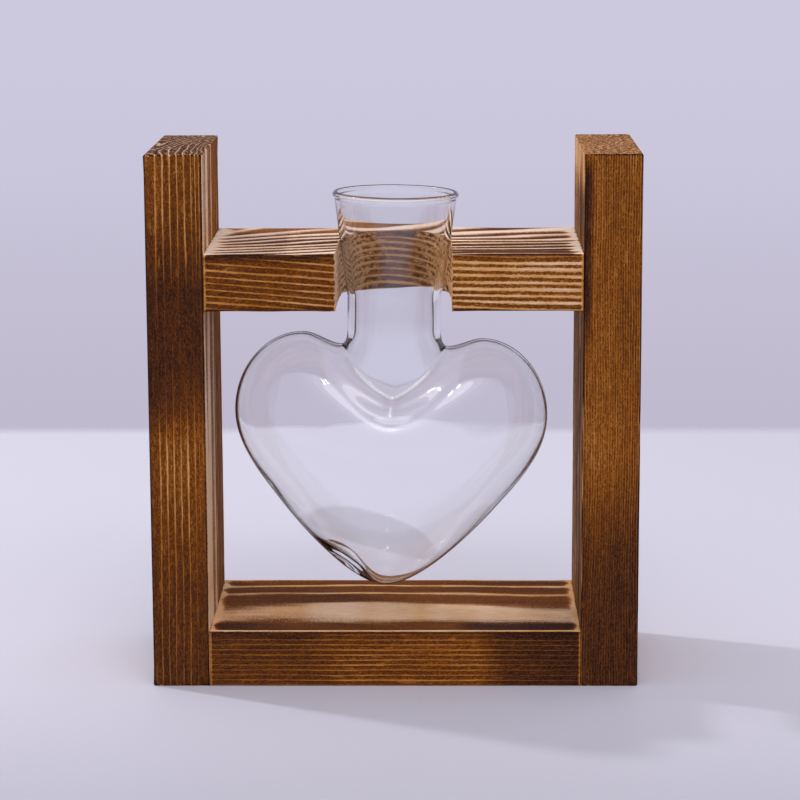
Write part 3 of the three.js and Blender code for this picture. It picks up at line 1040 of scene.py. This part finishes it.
def clear_glass(glass):
    """Clear blown glass with a faint ripple, painted shade at its edges and in the thick patch, and painted
    highlight lines; lamps shine through it.
    """
    material = bpy.data.materials.new("clear_blown_glass")
    shading = Shading(material)
    place = shading.node("ShaderNodeTexCoord", {}, {}, "Object")
    ripple = shading.noise(place, (55.0, 55.0, 40.0), detail=1.0)
    bump = shading.node("ShaderNodeBump", {}, {"Height": ripple, "Strength": 0.12, "Distance": 0.3 * MM})
    # Painted shade: the glass is greyed in the thick patch, for the dark ceiling it reflects there
    tint = shading.mix(shading.attribute("patch"), (*glass.tint, 1.0), (*glass.patch_painted_shade, 1.0))
    clear = shading.principled({
        "Base Color": tint,
        "Roughness": 0.0,
        "IOR": glass.refraction,
        "Transmission Weight": 1.0,
        "Normal": bump,
    })
    # Painted shade: a dark brown surface mixed in where the glass is seen edge on, for the dark room it
    # reflects there
    dark = shading.principled({
        "Base Color": (*glass.edge_shade_colour, 1.0),
        "Roughness": 0.3,
        "Specular IOR Level": 0.1,
    })
    # Painted highlight: a pale surface mixed in along the V crease and the lip's bead, in place of the lamps'
    # reflection there
    light = shading.principled({
        "Base Color": (*glass.painted_highlight_tint, 1.0),
        "Roughness": 0.25,
    })
    facing = shading.node("ShaderNodeLayerWeight", {}, {"Blend": 0.5}, "Facing")
    edge = (facing + shading.attribute("edge")).step(*PAINTED_EDGE_ON) * PAINTED_LIGHT_AND_SHADE_STRENGTH
    edged = shading.mix_shaders(edge, clear, dark)
    line = abs(shading.attribute("crease")).step(*PAINTED_HIGHLIGHT_REACH) * PAINTED_LIGHT_AND_SHADE_STRENGTH
    lined = shading.mix_shaders(line, edged, light)
    through = shading.node("ShaderNodeBsdfTransparent", {}, {"Color": (*glass.shadow_tint, 1.0)})
    lamp_ray = shading.node("ShaderNodeLightPath", {}, {}, "Is Shadow Ray")
    surface = shading.mix_shaders(lamp_ray, lined, through)
    shading.finish(surface)
    return material


def beech():
    """Plain beech for the dowels: short dark flecks along a pale straight grain."""
    material = bpy.data.materials.new("plain_beech")
    shading = Shading(material)
    place = shading.node("ShaderNodeTexCoord", {}, {}, "Object")
    grain = shading.noise(place, (90.0, 900.0, 900.0))
    fleck = shading.noise(place, (700.0, 2600.0, 2600.0), detail=1.0).step(0.62, 0.72)
    tone = shading.ramp(grain, [(0.3, linear(196, 152, 104)), (0.7, linear(222, 184, 138))])
    wood = shading.mix(fleck * 0.5, tone, (*linear(140, 92, 56), 1.0))
    surface = shading.principled({
        "Base Color": wood,
        "Roughness": 0.6 + 0.15 * grain,
    })
    shading.finish(surface)
    return material


# Settings


def length(label, text, millimetres):
    """Length setting, given in millimetres."""
    return FloatProperty(name=label, description=text, default=millimetres * MM, unit="LENGTH")


def tilt(label, text, degrees):
    """Angle setting, given in degrees."""
    return FloatProperty(name=label, description=text, default=np.radians(degrees), subtype="ANGLE")


def colour(label, text, value):
    """Linear colour setting."""
    return FloatVectorProperty(name=label, description=text, default=value, subtype="COLOR")


def lamp_power(label, text, watts):
    """Lamp power setting, given in watts."""
    return FloatProperty(name=label, description=text, default=watts, unit="POWER")


class FrameSettings(bpy.types.PropertyGroup):
    """Finish and mesh of the boards"""

    ease: length("Eased arris", "Radius of the boards' arrises", 0.6)
    relief: length("Brushed relief", "Depth of the soft wood below the ridges", 0.16)
    fine_relief: length("Fine relief", "The same depth on the close-grained right upright", 0.048)
    across_step: length("Step across", "Mesh step across the grain", 0.42)
    along_step: length("Step along", "Mesh step along the grain", 2.2)


class GlassSettings(bpy.types.PropertyGroup):
    """Shape and colours of the vase"""

    notch_radius: length("Notch radius", "Half width of the notch", 17.6)
    neck_clearance: length("Neck clearance", "Gap round the seated neck", 0.25)
    neck_taper: length("Neck taper", "Loss of radius through the crossbar", 2.6)
    neck_flare: length("Neck flare", "Gain of radius above the crossbar", 1.7)
    neck_wall: length("Neck wall", "Wall of the neck below the crossbar", 2.3)
    rim_wall: length("Rim wall", "Wall of the neck under the lip", 1.2)
    lip_step: length("Lip step", "How far the bead stands proud of the neck", 0.65)
    lip_above_bar: length("Lip height", "Lip above the crossbar", 15.4)
    shoulder_fillet: length("Shoulder", "Height of the shoulder's curve", 4.4)
    heart_width: length("Heart width", "Width of the heart", 98.6)
    heart_height: length("Heart height", "Height of the heart from its tip to its lobes", 80.6)
    heart_depth: length("Heart depth", "Depth of the heart", 50)
    heart_wall: length("Heart wall", "Wall of the heart", 0.5)
    uneven: length("Uneven wall", "How far the wall swells and thins", 0.12)
    shoulder_dip: length("Shoulder dip", "Dip of the shoulders below the lobes", 3.2)
    dip_beside_neck: length("Dip offset", "Dip's distance from the neck", 2.1)
    cleft_below_lobes: length("Cleft", "Foot of the V crease below the lobes", 17)
    cleft_fillet: length("Cleft fillet", "Reach of the curve at the foot of the crease", 1.5)
    cleft_slope: tilt("Cleft slope", "Slope out of the crease, from upright", 60)
    crease_point: FloatProperty(
        name="Crease point", description="How far the crease goes from a U to a V", default=0.42,
    )
    valley: length("Valley depth", "Depth of the valley below the crease", 0.6)
    valley_width: length("Valley width", "Half width of the valley", 1.6)
    valley_length: length("Valley length", "Length of the valley", 8)
    gather: length("Gather", "Extra glass beside the tip", 4.4)
    gather_reach: length("Gather reach", "Spread of the gather", 7)
    gather_from_tip: length("Gather place", "Gather's distance from the tip", 14)
    patch_rise: length("Patch rise", "Extra wall at the upper edge of the thick patch", 0.7)
    patch_width: length("Patch width", "Half width of the thick patch", 23)
    patch_height: length("Patch height", "Half height of the thick patch", 5.3)
    patch_aside: length("Patch place", "Sideways place of the thick patch", -4.3)
    patch_above_tip: length("Patch level", "Height of the thick patch above the tip", 14.2)
    patch_tilt: tilt("Patch tilt", "Slant of the thick patch", -14)
    patch_fade: length("Patch fade", "Reach of the fall above the thick patch", 35)
    tip_above_rail: length("Tip height", "Tip above the base rail", 6.8)
    neck_lean: tilt("Neck lean", "Lean of the neck to the right", 0.8)
    heart_lean: tilt("Heart lean", "Further lean of the heart", 1.6)
    around: IntProperty(name="Around", description="Points round the vase", default=176)
    refraction: FloatProperty(name="Refraction", description="Refractive index of the glass", default=1.47)
    tint: colour("Tint", "Tint of the glass", (0.985, 0.988, 0.99))
    # Grey of the painted shade in the thick patch; the thicker wall there is real shape
    patch_painted_shade: colour("Patch tint", "Tint of the glass in the thick patch", (0.805, 0.795, 0.8))
    # Colour of the painted highlight lines in the V crease and on the lip
    painted_highlight_tint: colour("Light line", "Colour of the light in the V crease and the lip", (0.93, 0.93, 1.0))
    # Colour of the painted shade at the glass's edges and round the lip's rim
    edge_shade_colour: colour("Edge", "Colour of the glass where it is seen edge on", (0.05, 0.03, 0.021))
    shadow_tint: colour("Shadow tint", "Share of the lamps' light that passes the glass", (0.93, 0.93, 0.94))


class StageSettings(bpy.types.PropertyGroup):
    """Colours, lamps and camera of the stage"""

    floor: colour("Floor", "Colour of the table", linear(222, 219, 237))
    # Darker colour of the table towards the camera: painted shade
    floor_near_shade: colour("Near floor", "Colour of the table towards the camera", linear(176, 173, 189))
    wall: colour("Wall", "Colour of the room up the wall", linear(204, 201, 222))
    wall_foot: colour("Wall foot", "Colour of the room at the table's edge", linear(192, 186, 206))
    floor_back: length("Table depth", "Table's far edge from the origin", 370)
    floor_fade: length("Table fade", "Reach of the fade at the table's far edge", 12)
    floor_reach: length("Table reach", "Half width of the table", 1500)
    key_power: lamp_power("Key lamp", "Power of the key lamp", 5.9)
    fill_power: lamp_power("Fill lamp", "Power of the fill lamp", 3.7)
    glint_power: lamp_power("Glint lamps", "Power of each small lamp by the fill lamp", 0.25)
    ambient: FloatProperty(name="Ambient", description="Strength of the room's light", default=0.66)
    lens: FloatProperty(name="Lens", description="Focal length", default=125.61, unit="CAMERA")
    camera_place: FloatVectorProperty(
        name="Camera", description="Place of the camera", subtype="TRANSLATION",
        default=(0.014685, -0.865636, 0.248397),
    )
    camera_turn: FloatVectorProperty(
        name="Camera turn", description="Pitch, roll and yaw of the camera", subtype="EULER",
        default=(np.radians(79.2613), np.radians(-0.2331), np.radians(0.8825)),
    )


# Operators


def make_board(boards, name, box, torch, relief, outlines=None):
    """Make and dress a board that fills its box, straight unless its front and back outlines are given.

    A standing board has its grain upwards and its ends eased. A lying one has its grain to the right.
    """
    low, high = box
    standing = high[2] - low[2] > high[0] - low[0]
    order = [2, 1, 0] if standing else [0, 1, 2]
    along, _, through = order
    middle = np.zeros(3)
    middle[through] = (low[through] + high[through]) / 2
    if outlines is None:
        front = straight_outline(low[along], high[along], low[1], boards.along_step)
        outlines = front, front * (1, 0) + (0, high[1])
    grids = board_grids(*outlines, BOARD_THICKNESS, boards.ease, boards.across_step, standing)
    placed = [(grid[..., order] + middle, closed) for grid, closed in grids]
    piece = new_piece(name + "_board", placed, "frame", [name])
    dress_board(piece, TIMBER[name], middle, order, torch, relief)


class VASESTAND_OT_uprights(bpy.types.Operator):
    """Make the two charred uprights"""

    bl_idname = "vasestand.uprights"
    bl_label = "Make Uprights"

    def execute(self, context):
        boards = context.scene.vase_frame
        make_board(boards, "left_upright", LEFT_BOX, torch_left, boards.relief)
        make_board(boards, "right_upright", RIGHT_BOX, torch_right, boards.fine_relief)
        return {"FINISHED"}


class VASESTAND_OT_base_rail(bpy.types.Operator):
    """Make the base rail between the uprights"""

    bl_idname = "vasestand.base_rail"
    bl_label = "Make Base Rail"

    def execute(self, context):
        boards = context.scene.vase_frame
        make_board(boards, "base_rail", RAIL_BOX, torch_rail, boards.relief)
        return {"FINISHED"}


class VASESTAND_OT_crossbar(bpy.types.Operator):
    """Make the crossbar with its notch for the neck"""

    bl_idname = "vasestand.crossbar"
    bl_label = "Make Crossbar"

    def execute(self, context):
        boards, radius = context.scene.vase_frame, context.scene.vase_glass.notch_radius
        outlines = notched_outlines(*BAR_BOX[1, :2], radius, boards.ease, boards.along_step)
        make_board(boards, "crossbar", BAR_BOX, torch_crossbar, boards.relief, outlines)
        return {"FINISHED"}


class VASESTAND_OT_dowels(bpy.types.Operator):
    """Finish the hidden dowels in plain beech"""

    bl_idname = "vasestand.dowels"
    bl_label = "Finish Dowels"

    def execute(self, context):
        finish = beech()
        for name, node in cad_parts.items():
            if "dowel" in name:
                node.data.materials.clear()
                node.data.materials.append(finish)
        return {"FINISHED"}


class VASESTAND_OT_vase(bpy.types.Operator):
    """Make the blown glass heart"""

    bl_idname = "vasestand.vase"
    bl_label = "Make Vase"

    def execute(self, context):
        glass = context.scene.vase_glass
        grids = [(vase_grid(glass), True)]
        piece = new_piece("heart_vase_glass", grids, "vase", ["heart_vase"])
        mark_glass(piece, glass)
        piece.data.materials.append(clear_glass(glass))
        return {"FINISHED"}


LAMP_AIM = (0, 0, 0.09)
KEY_PLACE = (-0.87, 0.39, 1.16)
KEY_AIM = (0, 0, 0.06)
KEY_SIZE = 0.08
GLINT_PLACES = {"left_glint": (-0.03, -0.8, 1.07), "right_glint": (0.05, -0.76, 1.1)}
GLINT_SIZE = 0.05
FILL_SIZES = ((1.5, 0.9), (1.15, 0.6), (0.8, 0.4), (0.44, 0.22))
FILL_PLACE = np.array([0.12, -0.87, 1.06])
FILL_GAP = np.array([0.0, 0.0, -0.006])
TABLE_SPARE = 0.04
# Where the table's painted shade towards the camera sets in
NEAR_TABLE_SHADE = (0.02, -0.24)
WALL_FOOT = (-0.2, -0.06)


def area_lamp(name, place, aim, width, height, watts):
    """Elliptical area lamp at a place, turned towards its aim."""
    lamp = bpy.data.lights.new(name, "AREA")
    lamp.shape = "ELLIPSE"
    lamp.size = width
    lamp.size_y = height
    lamp.energy = watts
    lamp_object = bpy.data.objects.new(name, lamp)
    heading = Vector(aim) - Vector(place)
    turn = heading.to_track_quat("-Z", "Y").to_matrix().to_4x4()
    lamp_object.matrix_world = Matrix.Translation(place) @ turn
    bpy.context.scene.collection.objects.link(lamp_object)
    return lamp_object


class VASESTAND_OT_stage(bpy.types.Operator):
    """Set the table, the lamps, the room and the camera"""

    bl_idname = "vasestand.stage"
    bl_label = "Set Stage"

    def execute(self, context):
        stage = context.scene.vase_stage
        self.lay_table(stage)
        self.light_room(context.scene, stage)
        area_lamp("key_lamp", KEY_PLACE, KEY_AIM, KEY_SIZE, KEY_SIZE, stage.key_power)
        for index, (width, height) in enumerate(FILL_SIZES):
            watts = stage.fill_power / len(FILL_SIZES)
            fill = area_lamp("fill_lamp", FILL_PLACE + index * FILL_GAP, LAMP_AIM, width, height, watts)
            fill.visible_transmission = False
        for name, place in GLINT_PLACES.items():
            area_lamp(name, place, LAMP_AIM, GLINT_SIZE, GLINT_SIZE, stage.glint_power)
        camera = bpy.data.cameras.new("camera")
        camera.lens = stage.lens
        camera_object = bpy.data.objects.new("camera", camera)
        pitch, roll, yaw = stage.camera_turn
        turn = Matrix.Rotation(yaw, 4, "Z") @ Matrix.Rotation(pitch, 4, "X") @ Matrix.Rotation(roll, 4, "Z")
        camera_object.matrix_world = Matrix.Translation(stage.camera_place) @ turn
        context.scene.collection.objects.link(camera_object)
        context.scene.camera = camera_object
        context.scene.view_settings.view_transform = "Standard"
        return {"FINISHED"}

    def lay_table(self, stage):
        """Flat table top with painted shade towards the camera, whose far edge fades into the room."""
        across = np.array([-stage.floor_reach, stage.floor_reach])
        away = np.array([-stage.floor_reach, stage.floor_back + TABLE_SPARE])
        x, y = np.meshgrid(across, away)
        points = np.stack([x, y, np.zeros_like(x)], axis=-1).reshape(-1, 3)
        mesh = bpy.data.meshes.new("table")
        mesh.from_pydata(points, [], grid_faces(2, 2).tolist())
        table = bpy.data.objects.new("table", mesh)
        bpy.context.scene.collection.objects.link(table)
        material = bpy.data.materials.new("pale_table")
        shading = Shading(material)
        place = shading.node("ShaderNodeTexCoord", {}, {}, "Object")
        away = shading.node("ShaderNodeSeparateXYZ", {}, {0: place}, "Y")
        cloud = shading.noise(place, (3.0, 3.0, 3.0))
        # Painted shade: the table darkens towards the camera, where the lamps' light falls off
        near_shade = away.step(*NEAR_TABLE_SHADE) * 0.8 + cloud * 0.1
        tone = shading.mix(near_shade, (*stage.floor, 1.0), (*stage.floor_near_shade, 1.0))
        top = shading.principled({
            "Base Color": tone, "Roughness": 0.6, "Specular IOR Level": 0.2,
        })
        clear = shading.node("ShaderNodeBsdfTransparent", {}, {})
        fade = away.step(stage.floor_back - stage.floor_fade, stage.floor_back + stage.floor_fade)
        surface = shading.mix_shaders(fade, top, clear)
        shading.finish(surface)
        mesh.materials.append(material)

    def light_room(self, scene, stage):
        """Soft light all round; the wall's colour shows to the camera and in and through the glass."""
        world = bpy.data.worlds.new("room")
        scene.world = world
        shading = Shading(world)
        camera, glossy, transmitted = (
            shading.node("ShaderNodeLightPath", {}, {}, name)
            for name in ("Is Camera Ray", "Is Glossy Ray", "Is Transmission Ray")
        )
        shown = (camera + glossy + transmitted).clamped()
        white = (1.0, 1.0, 1.0, 1.0)
        soft = shading.node("ShaderNodeBackground", {}, {"Color": white, "Strength": stage.ambient})
        heading = shading.node("ShaderNodeTexCoord", {}, {}, "Generated")
        height = shading.node("ShaderNodeSeparateXYZ", {}, {0: heading}, "Z")
        tone = shading.mix(height.step(*WALL_FOOT), (*stage.wall_foot, 1.0), (*stage.wall, 1.0))
        wall = shading.node("ShaderNodeBackground", {}, {"Color": tone, "Strength": 1.0})
        surface = shading.mix_shaders(shown, soft, wall)
        shading.finish(surface, "ShaderNodeOutputWorld")


class VASESTAND_PT_panel(bpy.types.Panel):
    """Pieces of the vase stand, in the order they are made"""

    bl_idname = "VASESTAND_PT_panel"
    bl_label = "Vase Stand"
    bl_space_type = "VIEW_3D"
    bl_region_type = "UI"
    bl_category = "Vase Stand"

    def draw(self, context):
        for operator in PIECES:
            self.layout.operator(operator.bl_idname)


PIECES = (
    VASESTAND_OT_uprights,
    VASESTAND_OT_base_rail,
    VASESTAND_OT_crossbar,
    VASESTAND_OT_dowels,
    VASESTAND_OT_vase,
    VASESTAND_OT_stage,
)
SETTINGS = {"vase_frame": FrameSettings, "vase_glass": GlassSettings, "vase_stage": StageSettings}


def register():
    for cls in (*SETTINGS.values(), *PIECES, VASESTAND_PT_panel):
        bpy.utils.register_class(cls)
    for name, cls in SETTINGS.items():
        setattr(bpy.types.Scene, name, PointerProperty(type=cls))


def unregister():
    for name in SETTINGS:
        delattr(bpy.types.Scene, name)
    for cls in reversed((*SETTINGS.values(), *PIECES, VASESTAND_PT_panel)):
        bpy.utils.unregister_class(cls)


def main():
    register()
    for operator in PIECES:
        group, name = operator.bl_idname.split(".")
        getattr(getattr(bpy.ops, group), name)()


if __name__ == "__main__":
    main()
